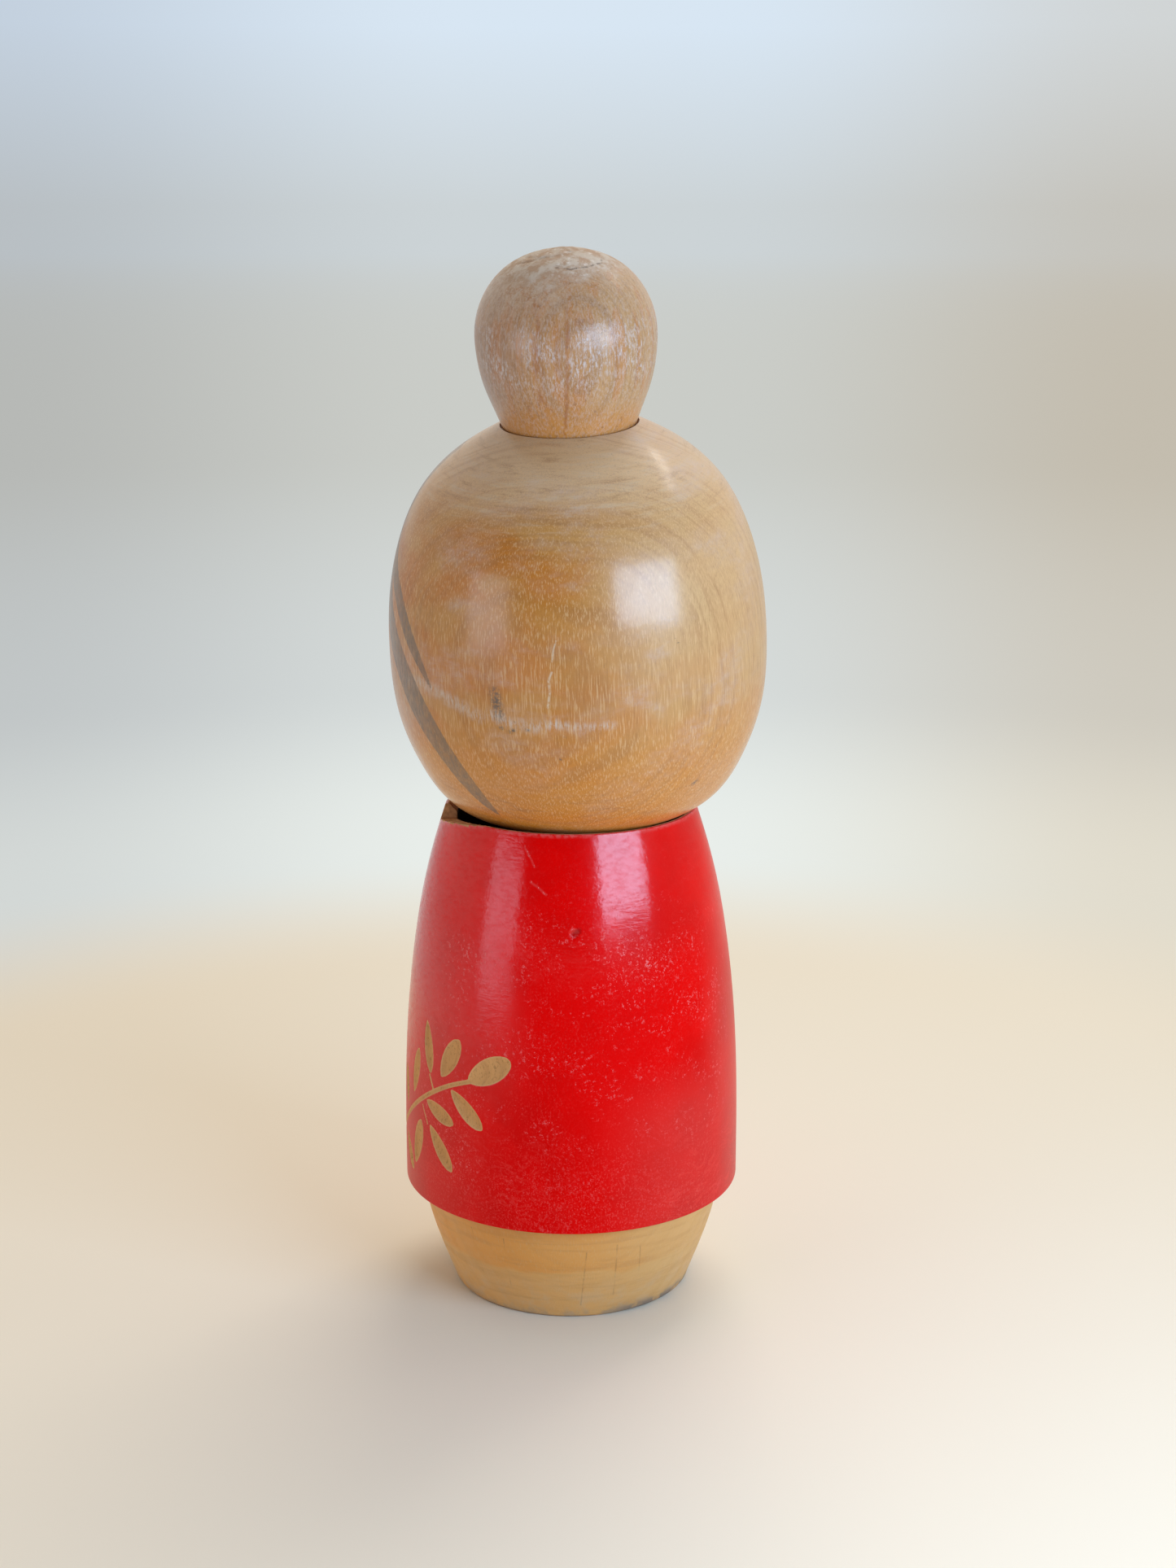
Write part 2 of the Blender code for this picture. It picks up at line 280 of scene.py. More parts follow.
class Turned:
    """A grid of points on a turned piece: rows along the outline and columns round the axis."""

    def __init__(self, outline, azimuths):
        self.outline = np.array(outline, float)
        self.azimuths = np.radians(azimuths)
        tangent = np.gradient(self.outline, axis=0)
        tangent /= np.linalg.norm(tangent, axis=1)[:, None] + 1e-12
        self.radius = np.repeat(self.outline[:, :1], len(azimuths), axis=1)
        self.height = np.repeat(self.outline[:, 1:], len(azimuths), axis=1)
        self.out_radius = tangent[:, 1:]
        self.out_height = -tangent[:, :1]
        self.layers = {}

    def points(self):
        """Every point of the grid, in millimetres."""
        side, front = np.sin(self.azimuths), -np.cos(self.azimuths)
        return np.stack([self.radius * side, self.radius * front, self.height], -1)

    def push(self, amount):
        """Move the surface out along its normal, in millimetres."""
        self.radius = self.radius + self.out_radius * amount
        self.height = self.height + self.out_height * amount

    def build(self, name, matrix=Matrix.Identity(4)):
        """A closed mesh object, whose first and last rows lie on the axis."""
        grid = self.points()
        rows, cols = grid.shape[:2]
        body = grid[1:-1].reshape(-1, 3)
        poles = np.array([grid[0, 0], grid[-1, 0]])
        index = np.arange((rows - 2) * cols).reshape(rows - 2, cols)
        beside = np.roll(index, -1, axis=1)
        quads = np.stack([index[:-1], beside[:-1], beside[1:], index[1:]], -1).reshape(-1, 4)
        first, last = len(body), len(body) + 1
        fan_start = [(first, b, a) for a, b in zip(index[0], beside[0])]
        fan_end = [(last, a, b) for a, b in zip(index[-1], beside[-1])]
        mesh = bpy.data.meshes.new(name)
        faces = quads.tolist() + fan_start + fan_end
        mesh.from_pydata((np.concatenate([body, poles]) * MM).tolist(), [], faces)
        for layer, values in self.layers.items():
            ends = [values[1].mean(), values[-2].mean()]
            data = mesh.attributes.new(layer, "FLOAT", "POINT").data
            data.foreach_set("value", np.concatenate([values[1:-1].ravel(), ends]).astype(np.float32))
        mesh.shade_smooth()
        mesh.set_sharp_from_angle(angle=math.radians(40))
        mesh.update()
        mesh.transform(matrix)
        return add_object(name, mesh)


def stroke_depth(grid, outline, line, spacing=0.35):
    """How far inside a brush stroke or a cut each grid point lies, in millimetres; negative outside."""
    path = smooth(line, 1.5) if len(line) > 2 else np.array(line, float)
    dense = [path[0]]
    for one, two in zip(path, path[1:]):
        count = max(1, math.ceil(np.hypot((two[0] - one[0]) * DEGREE_WIDTH, two[1] - one[1]) / spacing))
        dense += [one + (two - one) * k / count for k in range(1, count + 1)]
    dense = np.array(dense)
    order = np.argsort(outline[:, 1])
    radius = np.interp(dense[:, 1], outline[order, 1], outline[order, 0])
    azimuth = np.radians(dense[:, 0])
    centres = np.stack([radius * np.sin(azimuth), -radius * np.cos(azimuth), dense[:, 1]], -1)
    inside = np.full(grid.shape[:2], OUTSIDE)
    low = centres.min(0) + OUTSIDE
    high = centres.max(0) - OUTSIDE
    near = np.all((grid > low) & (grid < high), axis=-1)
    points = grid[near]
    best = np.full(len(points), OUTSIDE)
    for centre, width in zip(centres, dense[:, 2]):
        best = np.maximum(best, width - np.linalg.norm(points - centre, axis=1))
    inside[near] = best
    return inside


def leaf_line(start, end, width, count=15):
    """The centre line of a leaf-shaped gouge cut, narrow at its stalk and round at its tip."""
    along = np.linspace(0.03, 0.97, count)
    swell = np.sin(np.pi * along ** 1.2) ** 0.55
    points = np.array(start) + (np.array(end) - np.array(start)) * along[:, None]
    return [(a, h, width * s) for (a, h), s in zip(points, swell)]


def wave(points, scale, seed, octaves=3):
    """Smooth noise made of turned sine waves, about -1 to 1, for relief in the mesh."""
    rng = np.random.default_rng(seed)
    total = np.zeros(points.shape[:-1])
    for octave in range(octaves):
        for _ in range(5):
            direction = rng.normal(size=3)
            direction *= 2 ** octave * 2 * np.pi / (scale * np.linalg.norm(direction))
            total += np.sin(points @ direction + rng.uniform(0, 6.28)) / (2.2 * 1.6 ** octave)
    return total / 2.2


# ---- shader helpers ----

class Nodes:
    """Short calls for building a material's node tree."""

    def __init__(self, tree, output="Object", turn=None):
        self.tree = tree
        self.shader = tree.nodes.get("Principled BSDF")
        place = tree.nodes.new("ShaderNodeTexCoord").outputs[output]
        if turn is not None:
            place = self.turned(place, turn)
        self.place = self.vector("SCALE", place, scale=1 / MM if output == "Object" else 1)

    def turned(self, place, turn):
        """The place as seen from a piece's own axes, which stand at a matrix."""
        back = turn.inverted()
        mapping = self.tree.nodes.new("ShaderNodeMapping")
        mapping.inputs["Location"].default_value = back.to_translation()
        mapping.inputs["Rotation"].default_value = back.to_euler()
        self.link(place, mapping.inputs["Vector"])
        return mapping.outputs[0]

    def node(self, kind, **settings):
        """A new node with the given settings."""
        made = self.tree.nodes.new(kind)
        for key, value in settings.items():
            setattr(made, key, value)
        return made

    def link(self, value, socket):
        """Link another node's output to a socket, or set the socket to a plain value."""
        if isinstance(value, bpy.types.NodeSocket):
            self.tree.links.new(value, socket)
        else:
            socket.default_value = value

    def math(self, operation, a, b=0, c=0, clamp=False):
        made = self.node("ShaderNodeMath", operation=operation, use_clamp=clamp)
        for value, socket in zip((a, b, c), made.inputs):
            self.link(value, socket)
        return made.outputs[0]

    def plus(self, a, b):
        return self.math("ADD", a, b)

    def times(self, a, b):
        return self.math("MULTIPLY", a, b)

    def most(self, a, b):
        return self.math("MAXIMUM", a, b)

    def vector(self, operation, a, b=(0, 0, 0), scale=1):
        made = self.node("ShaderNodeVectorMath", operation=operation)
        self.link(a, made.inputs[0])
        if operation == "SCALE":
            self.link(scale, made.inputs["Scale"])
        elif operation != "LENGTH":
            self.link(b, made.inputs[1])
        return made.outputs["Value"] if operation in ("LENGTH", "DOT_PRODUCT") else made.outputs[0]

    def noise(self, scale, detail=3, rough=0.55, flat=1, tall=1, offset=(0, 0, 0), place=None):
        """Noise whose features are 1 / scale millimetres, or 1 / flat and 1 / tall times as long."""
        spot = self.vector("MULTIPLY", self.place if place is None else place, (flat, flat, tall))
        spot = self.vector("ADD", spot, offset)
        made = self.node("ShaderNodeTexNoise")
        self.link(spot, made.inputs["Vector"])
        made.inputs["Scale"].default_value = scale
        made.inputs["Detail"].default_value = detail
        made.inputs["Roughness"].default_value = rough
        return made.outputs["Fac"]

    def noise_along(self, distance, scale, detail=2):
        """Noise that changes only with a distance, as growth rings do."""
        made = self.node("ShaderNodeTexNoise", noise_dimensions="1D")
        self.link(distance, made.inputs["W"])
        made.inputs["Scale"].default_value = scale
        made.inputs["Detail"].default_value = detail
        made.inputs["Roughness"].default_value = 0.6
        return made.outputs["Fac"]

    def span(self, value, low, high, to_low=0, to_high=1, soft=True):
        """Map a value between two limits, clamped."""
        made = self.node("ShaderNodeMapRange", interpolation_type="SMOOTHSTEP" if soft else "LINEAR")
        for item, socket in zip((value, low, high, to_low, to_high), made.inputs):
            self.link(item, socket)
        return made.outputs[0]

    def mix(self, factor, a, b, blend="MIX"):
        """A colour between two colours."""
        made = self.node("ShaderNodeMix", data_type="RGBA", blend_type=blend)
        self.link(factor, made.inputs["Factor"])
        self.link(a, made.inputs[6])
        self.link(b, made.inputs[7])
        return made.outputs[2]

    def layer(self, name):
        """A value that the mesh holds at each point."""
        return self.node("ShaderNodeAttribute", attribute_name=name).outputs["Fac"]

    def near(self, surface, line, width, soft):
        """How much of a mark along (azimuth, height) points covers each place, from 0 to 1."""
        ends = [on_surface(surface, *point) for point in line]
        best = None
        for start, end in zip(ends, ends[1:]):
            along = end - start
            offset = self.vector("SUBTRACT", self.place, tuple(start))
            share = self.vector("DOT_PRODUCT", offset, tuple(along / along.length_squared))
            share = self.math("ADD", share, 0, clamp=True)
            gap = self.vector("SUBTRACT", offset, self.vector("SCALE", tuple(along), scale=share))
            gap = self.vector("LENGTH", gap)
            best = gap if best is None else self.math("MINIMUM", best, gap)
        return self.span(best, width + soft, max(width - soft, 0))

    def over(self, base, colour, value, low, high, amount):
        """A colour laid over another where a value passes from one limit to the other."""
        return self.mix(self.span(value, low, high, 0, amount), base, colour)

    def marked(self, base, side, marks, amount, colour):
        """A colour with marks drawn on it, each as strong as an amount allows."""
        for line, width, soft in marks:
            base = self.mix(self.times(self.near(side, line, width, soft), amount), base, colour)
        return base

    def height(self):
        """The height of each place, in millimetres."""
        made = self.node("ShaderNodeSeparateXYZ")
        self.link(self.place, made.inputs[0])
        return made.outputs[2]

    def across(self, azimuth):
        """How far each place lies towards an azimuth, in millimetres."""
        return self.vector("DOT_PRODUCT", self.place, tuple(compass(azimuth)))

    def bump(self, height, distance, strength):
        """A shading normal from fine relief, whose depth is in millimetres."""
        made = self.node("ShaderNodeBump")
        made.inputs["Strength"].default_value = strength
        made.inputs["Distance"].default_value = distance * MM
        self.link(height, made.inputs["Height"])
        return made.outputs[0]

    def show_mixed(self, output, share, one, other):
        """Mix two shaders at the tree's output."""
        blend = self.node("ShaderNodeMixShader")
        for value, socket in zip((share, one.outputs[0], other.outputs[0]), blend.inputs):
            self.link(value, socket)
        self.link(blend.outputs[0], self.tree.nodes[output].inputs["Surface"])

    def put(self, name, value):
        """Link a value to the surface shader, or set it there."""
        self.link(value, self.shader.inputs[name])


def on_surface(side, azimuth, height):
    """The point of a turned side at an azimuth and a height."""
    side = smooth(side, 0.5)
    order = np.argsort(side[:, 1])
    radius = float(np.interp(height, side[order, 1], side[order, 0]))
    return compass(azimuth) * radius + Vector((0, 0, height))


def rgb(red, green, blue):
    """A colour from 0-255 screen values, as the shaders hold it."""
    linear = [((v / 255 + 0.055) / 1.055) ** 2.4 if v > 10 else v / 255 / 12.92 for v in (red, green, blue)]
    return (*linear, 1)


def new_material(name, turn=None):
    material = bpy.data.materials.new(name)
    material.use_nodes = True
    return material, Nodes(material.node_tree, turn=turn)


def grain(n, pith_azimuth, pith_distance, warp=3.0):
    """Growth rings, broad bands and upright fibres of wood whose pith is an upright line: 0 to 1 each."""
    pith = compass(pith_azimuth) * pith_distance
    flat = n.vector("MULTIPLY", n.vector("SUBTRACT", n.place, tuple(pith)), (1, 1, 0))
    drift = n.noise(0.06, 3, 0.5, tall=0.7)
    distance = n.plus(n.vector("LENGTH", flat), n.times(drift, warp))
    rings = n.span(n.noise_along(distance, 1.1), 0.42, 0.66)
    bands = n.span(n.noise_along(distance, 0.2, 1), 0.35, 0.65)
    fibre = n.noise(5, 3, 0.6, tall=0.07)
    return rings, bands, fibre


# ---- materials ----
#
# A span's limits are millimetres where it maps a place, and shares of 1 where it maps noise.

def head_tones(n, height, rings, bands, fibre):
    """The head's wood: orange blotches and underside, a side paler as painted light, a crown paler partly
    from wear and partly from painted light from above, streaks, rings and fibres.
    """
    base = n.mix(bands, rgb(186, 122, 46), rgb(194, 138, 68))
    blotch = n.noise(0.075, 3, 0.55, tall=1.5, offset=(3.1, 0.4, 7.7))
    orange = n.times(n.span(blotch, 0.4, 0.6, 0, 0.85), n.span(height, 27, 18))
    base = n.mix(orange, base, rgb(190, 112, 26))
    # Painted light: the side towards the window is paler.
    pale = n.span(n.across(HEAD_LIT_SIDE), 0, 24, 0, 0.8)
    base = n.mix(n.times(pale, n.span(height, -16, 12, 0.4, 1)), base, rgb(204, 166, 116))
    # Partly pale worn wood, partly painted light from above: paler towards the crown.
    base = n.over(base, rgb(210, 176, 136), height, 19, 27, 0.8)
    base = n.over(base, rgb(200, 124, 30), height, -4, -18, 0.8)
    streak = n.noise(1.3, 4, 0.7, flat=0.1, tall=1.1, offset=(0, 6, 3))
    shoulder = n.span(height, 16, 25)
    base = n.mix(n.times(n.span(streak, 0.5, 0.66, 0, 0.6), shoulder), base, rgb(204, 176, 142))
    base = n.mix(n.times(n.span(streak, 0.48, 0.32, 0, 0.45), shoulder), base, rgb(150, 108, 66))
    belly = n.times(n.span(height, -12, -22), n.span(streak, 0.48, 0.34, 0, 0.4))
    base = n.mix(belly, base, rgb(150, 92, 44))
    ring_area = n.span(n.noise(0.12, 3, 0.6, offset=(5, 1, 9)), 0.36, 0.62, 0.05, 0.3)
    base = n.mix(n.times(rings, ring_area), base, rgb(150, 98, 52))
    base = n.over(base, rgb(216, 172, 120), fibre, 0.52, 0.64, 0.55)
    return n.over(base, rgb(128, 80, 40), fibre, 0.46, 0.3, 0.25)


def wax_bloom(n, height):
    """How far the wax has gone white, in wisps and speckles."""
    area = n.span(n.noise(0.075, 3, 0.55, tall=1.9, offset=(11, 2, 5)), 0.44, 0.66)
    wisps = n.span(n.noise(0.7, 4, 0.65, flat=0.6, tall=1.3), 0.36, 0.7)
    speckle = n.span(n.noise(3.4, 2, 0.6, tall=0.5), 0.36, 0.64, 0.55, 1)
    bloom = n.times(n.times(area, speckle), n.math("MULTIPLY_ADD", wisps, 0.34, 0.12))
    return n.times(bloom, n.span(height, -16, -6, 0.45, 1))


def head_marks(n, base):
    """A colour with the head's dirt, stains, rubs and scratches on it."""
    dark_spots = n.span(n.noise(0.9, 4, 0.7, offset=(7, 1, 2)), 0.64, 0.74, 0, 0.55)
    dark_spots = n.times(dark_spots, n.span(n.noise(0.11, 2, 0.5, offset=(2, 9, 4)), 0.5, 0.62))
    base = n.mix(dark_spots, base, rgb(104, 82, 64))
    grit = n.span(n.noise(2.2, 4, 0.75), 0.36, 0.6)
    base = n.marked(base, HEAD_SIDE, HEAD_STAINS, grit, rgb(98, 80, 66))
    broken = n.noise(2.6, 4, 0.75, tall=0.22, offset=(2, 2, 2))
    broken = n.span(broken, 0.4, 0.62, 0, 0.62)
    base = n.marked(base, HEAD_SIDE, HEAD_RUBS, broken, rgb(202, 184, 168))
    torn = n.span(n.noise(2, 4, 0.7), 0.34, 0.54, 0.1, 0.7)
    return n.marked(base, HEAD_SIDE, HEAD_SCRATCHES, torn, rgb(214, 192, 162))


def painted(n, base):
    """A colour with the hair and the face painted on it, worn through to the wood in places."""
    ink_edge = n.math("MULTIPLY_ADD", n.noise(3, 3, 0.6, tall=0.3), 0.4, -0.2)
    ink = n.span(n.plus(n.layer("ink"), ink_edge), -0.1, 0.14)
    worn = n.span(n.noise(1.6, 4, 0.7, tall=0.4, offset=(1, 5, 3)), 0.3, 0.75, 0.92, 0.5)
    base = n.mix(n.times(ink, worn), base, rgb(112, 88, 66))
    mouth = n.span(n.layer("mouth"), -0.1, 0.12)
    return n.mix(n.times(mouth, 0.8), base, rgb(164, 40, 30))


def head_wood(turn):
    """Waxed wood with the painted hair and face."""
    material, n = new_material("head_wood", turn)
    rings, bands, fibre = grain(n, -68, 34)
    height = n.height()
    bloom = wax_bloom(n, height)
    base = n.mix(bloom, head_tones(n, height, rings, bands, fibre), rgb(200, 174, 160))
    n.put("Base Color", painted(n, head_marks(n, base)))
    rough = n.span(n.noise(0.5, 4, 0.6), 0.3, 0.7, 0.36, 0.48)
    n.put("Roughness", n.math("MULTIPLY_ADD", bloom, 0.3, rough))
    relief = n.plus(n.times(fibre, 0.6), n.noise(1.1, 4, 0.6))
    n.put("Normal", n.bump(relief, 0.05, 0.5))
    n.put("Coat Normal", n.bump(relief, 0.03, 0.4))
    n.put("Specular IOR Level", 0.35)
    n.put("Coat Weight", 0.7)
    n.put("Coat Roughness", 0.16)
    return material


def bun_crown(n, height, across):
    """How far the crown's bare end grain covers each place, and its colour, with chalky flakes."""
    ragged = n.times(n.noise(0.4, 4, 0.65, offset=(1, 2, 3)), 6)
    tipped = n.math("MULTIPLY_ADD", across, -0.07, height)
    crown = n.span(n.plus(tipped, ragged), 54.2, 56.8)
    tone = n.span(n.noise(0.5, 4, 0.65, offset=(6, 1, 0)), 0.4, 0.62)
    end_grain = n.mix(tone, rgb(184, 152, 124), rgb(206, 190, 172))
    chalk = n.span(n.noise(0.8, 5, 0.75, offset=(0, 4, 0)), 0.56, 0.66, 0, 0.7)
    return crown, n.mix(chalk, end_grain, rgb(230, 220, 210))


def bun_tones(n, height, across, rings, bands, fibre):
    """The bun's stained wood, with painted light and shade: paler on the side towards the window and greyer
    on the far side; orange at the foot of it.
    """
    base = n.mix(bands, rgb(180, 126, 72), rgb(190, 138, 84))
    # Painted light and shade: paler towards the window, greyer away from it.
    base = n.over(base, rgb(186, 144, 92), across, 1, 9, 0.7)
    base = n.over(base, rgb(162, 126, 102), across, -4, -10, 0.7)
    line = n.span(n.noise(0.55, 2, 0.5, tall=0.03, offset=(5, 0, 0)), 0.52, 0.62)
    base = n.mix(n.times(line, 0.5), base, rgb(184, 112, 42))
    base = n.mix(n.times(rings, 0.28), base, rgb(128, 88, 56))
    base = n.over(base, rgb(196, 160, 122), fibre, 0.52, 0.68, 0.4)
    base = n.over(base, rgb(126, 82, 46), fibre, 0.46, 0.3, 0.3)
    return n.over(base, rgb(202, 134, 56), height, 36.5, 31, 0.8)


def bun_wood(turn):
    """Stained wood, scuffed in a belt round the widest part, with pale cracked end grain on its crown and
    painted light on its upper side.
    """
    material, n = new_material("bun_wood", turn)
    rings, bands, fibre = grain(n, 128, 24, 2)
    height, across = n.height(), n.across(LIT_SIDE)
    base = bun_tones(n, height, across, rings, bands, fibre)
    belt = n.times(n.span(height, 35.5, 40.5), n.span(height, 48, 44.5))
    fleck = n.span(n.noise(3.4, 5, 0.8, tall=0.3), 0.45, 0.62)
    patch = n.span(n.noise(0.2, 3, 0.6, tall=1.4, offset=(4, 7, 1)), 0.36, 0.58)
    scuff = n.times(fleck, n.math("MULTIPLY_ADD", n.times(belt, patch), 0.52, 0.3))
    base = n.mix(scuff, base, rgb(208, 194, 188))
    patchy = n.span(n.noise(1, 4, 0.7, tall=0.3), 0.36, 0.62, 0, 0.7)
    base = n.marked(base, BUN_SIDE, BUN_STREAKS, patchy, rgb(158, 88, 34))
    stain = n.span(n.noise(1.4, 5, 0.8, tall=0.6, offset=(3, 8, 2)), 0.54, 0.68, 0, 0.6)
    base = n.mix(stain, base, rgb(130, 86, 54))
    # Painted light: the upper part is paler, more so on the side away from the window, broken by noise.
    painted_top_light = n.times(n.span(height, 45, 52, 0, 0.5), n.span(across, 6, -4, 0.3, 1))
    painted_top_light = n.times(painted_top_light, n.span(n.noise(1.1, 5, 0.8, offset=(4, 0, 9)), 0.4, 0.58, 0.25, 1.3))
    base = n.mix(painted_top_light, base, rgb(208, 184, 160))
    crown, end_grain = bun_crown(n, height, across)
    base = n.mix(crown, base, end_grain)
    split = n.span(n.noise(1.3, 4, 0.7, offset=(2, 2, 7)), 0.42, 0.56, 0, 0.75)
    n.put("Base Color", n.marked(base, BUN_SIDE, BUN_CRACKS, split, rgb(84, 64, 52)))
    n.put("Roughness", n.math("MULTIPLY_ADD", n.plus(scuff, crown), 0.25, 0.38))
    relief = n.plus(n.plus(fibre, n.noise(1.6, 4, 0.65)), scuff)
    n.put("Normal", n.bump(relief, 0.06, 0.5))
    ridges = n.plus(n.noise(0.9, 3, 0.65, flat=0.5, tall=1.8), n.times(scuff, 0.4))
    n.put("Coat Normal", n.bump(ridges, 0.06, 0.5))
    n.put("Specular IOR Level", 0.35)
    n.put("Coat Weight", n.math("MULTIPLY_ADD", crown, -0.5, 0.66))
    n.put("Coat Roughness", 0.13)
    return material


def foot_wood():
    """Bare wood in two layers, paler towards the window as painted light, with turning lines, fine cracks
    and a lower edge darkened grey in spots.
    """
    material, n = new_material("foot_wood")
    rings, bands, fibre = grain(n, -55, 30, 2.5)
    height, across = n.height(), n.across(LIT_SIDE)
    wander = n.noise(0.1, 2, 0.5, offset=(8, 2, 0))
    lower = n.span(n.math("MULTIPLY_ADD", wander, 5, height), 11.6, 10.6)
    base = n.mix(lower, rgb(226, 154, 68), rgb(224, 168, 96))
    # Painted light: the side towards the window is paler.
    base = n.over(base, rgb(210, 170, 110), across, 2, 18, 0.75)
    base = n.mix(n.times(bands, 0.25), base, rgb(216, 176, 116))
    streak = n.span(n.noise(0.5, 3, 0.6, flat=0.14, tall=1.6), 0.46, 0.64, 0, 0.3)
    base = n.mix(streak, base, rgb(192, 136, 74))
    base = n.mix(n.times(rings, 0.07), base, rgb(158, 108, 60))
    base = n.over(base, rgb(216, 182, 136), fibre, 0.5, 0.72, 0.25)
    faint = n.span(n.noise(0.6, 4, 0.7, tall=0.8), 0.36, 0.62, 0.05, 0.5)
    base = n.marked(base, FOOT_SIDE, FOOT_LINES, faint, rgb(140, 98, 56))
    pale = n.times(n.span(height, 9, 2), n.span(n.noise(0.3, 4, 0.6), 0.42, 0.62, 0, 0.4))
    base = n.mix(pale, base, rgb(208, 180, 142))
    # Darker grey in spots along the lowest two millimetres, more so towards the lit side.
    side = n.span(across, 4, 12, 0.35, 1)
    dark_spots = n.times(n.span(height, 2.2, 0.4), n.span(n.noise(0.3, 4, 0.6), 0.4, 0.56, 0.1, 0.85))
    base = n.mix(n.times(dark_spots, side), base, rgb(112, 102, 96))
    n.put("Base Color", base)
    n.put("Roughness", n.span(n.noise(0.5, 4, 0.6), 0.3, 0.7, 0.42, 0.58))
    relief = n.plus(n.times(fibre, 0.9), n.noise(1.2, 4, 0.6))
    n.put("Normal", n.bump(relief, 0.06, 0.5))
    return material


def peg_wood():
    """Plain dowel."""
    material, n = new_material("peg_wood")
    rings, bands, fibre = grain(n, 20, 14)
    base = n.mix(bands, rgb(196, 158, 110), rgb(208, 172, 126))
    base = n.mix(n.times(rings, 0.4), base, rgb(160, 116, 70))
    base = n.over(base, rgb(216, 186, 142), fibre, 0.5, 0.72, 0.3)
    n.put("Base Color", base)
    n.put("Roughness", n.span(fibre, 0.3, 0.7, 0.5, 0.62))
    n.put("Normal", n.bump(fibre, 0.06, 0.5))
    return material


def lacquer_wear(n, height, across):
    """How far hands have dulled the lacquer, with painted reflection hazing its low left flank, how far
    small chips cover it, and the chips' flecks.
    """
    cloud = n.span(n.noise(0.1, 5, 0.7, offset=(9, 3, 6)), 0.46, 0.6, 0, 0.25)
    # Painted reflection: the low flank away from the window is hazed paler.
    left_flank_reflection = n.times(n.span(across, -6, -20), n.span(height, *LOW_FLANK))
    worn = n.most(n.times(cloud, n.span(height, 74, 62)), n.times(n.span(height, *LOWER_BODY), 0.6))
    worn = n.most(worn, left_flank_reflection)
    patches = 0.0
    for patch, width, soft in BODY_WORN:
        patches = n.most(patches, n.near(BODY_SIDE, patch, width, soft))
    worn = n.most(n.most(worn, n.times(patches, 0.35)), 0.07)
    salt = n.span(n.noise(3.4, 4, 0.8, tall=0.75), 0.53, 0.62)
    haze = n.times(worn, n.times(salt, 0.62))
    flecks = n.span(n.noise(1.6, 5, 0.8, offset=(5, 5, 5)), 0.565, 0.61)
    area = n.span(n.noise(0.13, 5, 0.75, flat=0.8, tall=1.3, offset=(6, 0, 8)), 0.46, 0.58)
    middle = n.times(n.span(height, 70, 60, 0.1, 1), n.span(height, 26, 40, 0.4, 1))
    area = n.most(n.times(n.times(area, middle), 0.4), n.times(patches, 0.6))
    return haze, n.times(flecks, area), flecks


def painted_side_reflection(n, height, across):
    """How far painted reflection pales the lacquer at its two sides."""
    side_reflection = n.most(n.span(across, -8, -25, 0, 0.26), n.span(across, 20, 26, 0, 0.3))
    low_side_reflection = n.most(n.span(across, 4, 20, 0, 0.18), n.span(across, -15, -25, 0, 0.38))
    side_reflection = n.most(side_reflection, n.times(low_side_reflection, n.span(height, *LOW_FLANK)))
    return n.times(side_reflection, n.span(height, 76, 56, 0.4, 1))


def lathe_ripple(n):
    """Wavy lines that the lathe's tool left round the body, as noise."""
    swayed = n.node("ShaderNodeCombineXYZ")
    n.link(n.times(n.noise(0.09, 2, 0.5, offset=(3, 1, 8)), 14), swayed.inputs["Z"])
    place = n.vector("ADD", n.place, swayed.outputs[0])
    return n.noise(1, 4, 0.65, flat=0.28, tall=2, place=place)


def lacquer_colour(n, height, across, wear, ripple):
    """The red, with its haze, painted reflection at its sides, chips, an upper edge paler partly from
    rubbing and partly as painted highlight, and dent.
    """
    haze, chips, flecks = wear
    tone = n.noise(0.06, 4, 0.55, offset=(4, 4, 1))
    red = n.mix(n.span(tone, 0.35, 0.68), rgb(231, 0, 0), rgb(215, 0, 0))
    red = n.mix(haze, red, rgb(238, 96, 90))
    # Painted reflection pales the lacquer at its two sides.
    red = n.mix(painted_side_reflection(n, height, across), red, rgb(168, 108, 96))
    red = n.mix(chips, red, rgb(238, 136, 134))
    ripple_area = n.span(n.noise(0.07, 2, 0.5, offset=(1, 7, 2)), 0.4, 0.58, 0.2, 1)
    figure = n.times(n.times(n.span(ripple, 0.5, 0.62), ripple_area), n.span(height, *LOWER_BODY))
    red = n.mix(n.times(figure, 0.3), red, rgb(238, 78, 70))
    red = n.marked(red, BODY_SIDE, BODY_CHIPS, n.span(flecks, 0, 0.6, 0.1, 0.7), rgb(236, 150, 146))
    # Partly rubbed lacquer, partly painted highlight: the lip is paler near the rim.
    ragged = n.span(n.noise(1.4, 4, 0.7), 0.36, 0.62, 0.03, 0.48)
    red = n.mix(n.times(n.span(n.layer("edge"), 0.7, 0), ragged), red, rgb(214, 124, 118))
    return n.marked(red, BODY_SIDE, DENT_MARK, 0.6, rgb(128, 0, 4))


def cut_wood(n, rings, fibre):
    """The wood in the carved cuts, darker in flakes and paler at the cuts' edges."""
    wood = n.mix(n.times(rings, 0.4), rgb(212, 156, 98), rgb(184, 130, 80))
    wood = n.over(wood, rgb(196, 152, 104), fibre, 0.45, 0.75, 0.4)
    flake = n.noise(3.2, 4, 0.75, tall=0.5, offset=(0, 3, 6))
    wood = n.over(wood, rgb(142, 98, 56), flake, 0.48, 0.34, 0.6)
    return n.over(wood, rgb(220, 180, 130), n.layer("carved"), 0.32, 0.06, 0.4)


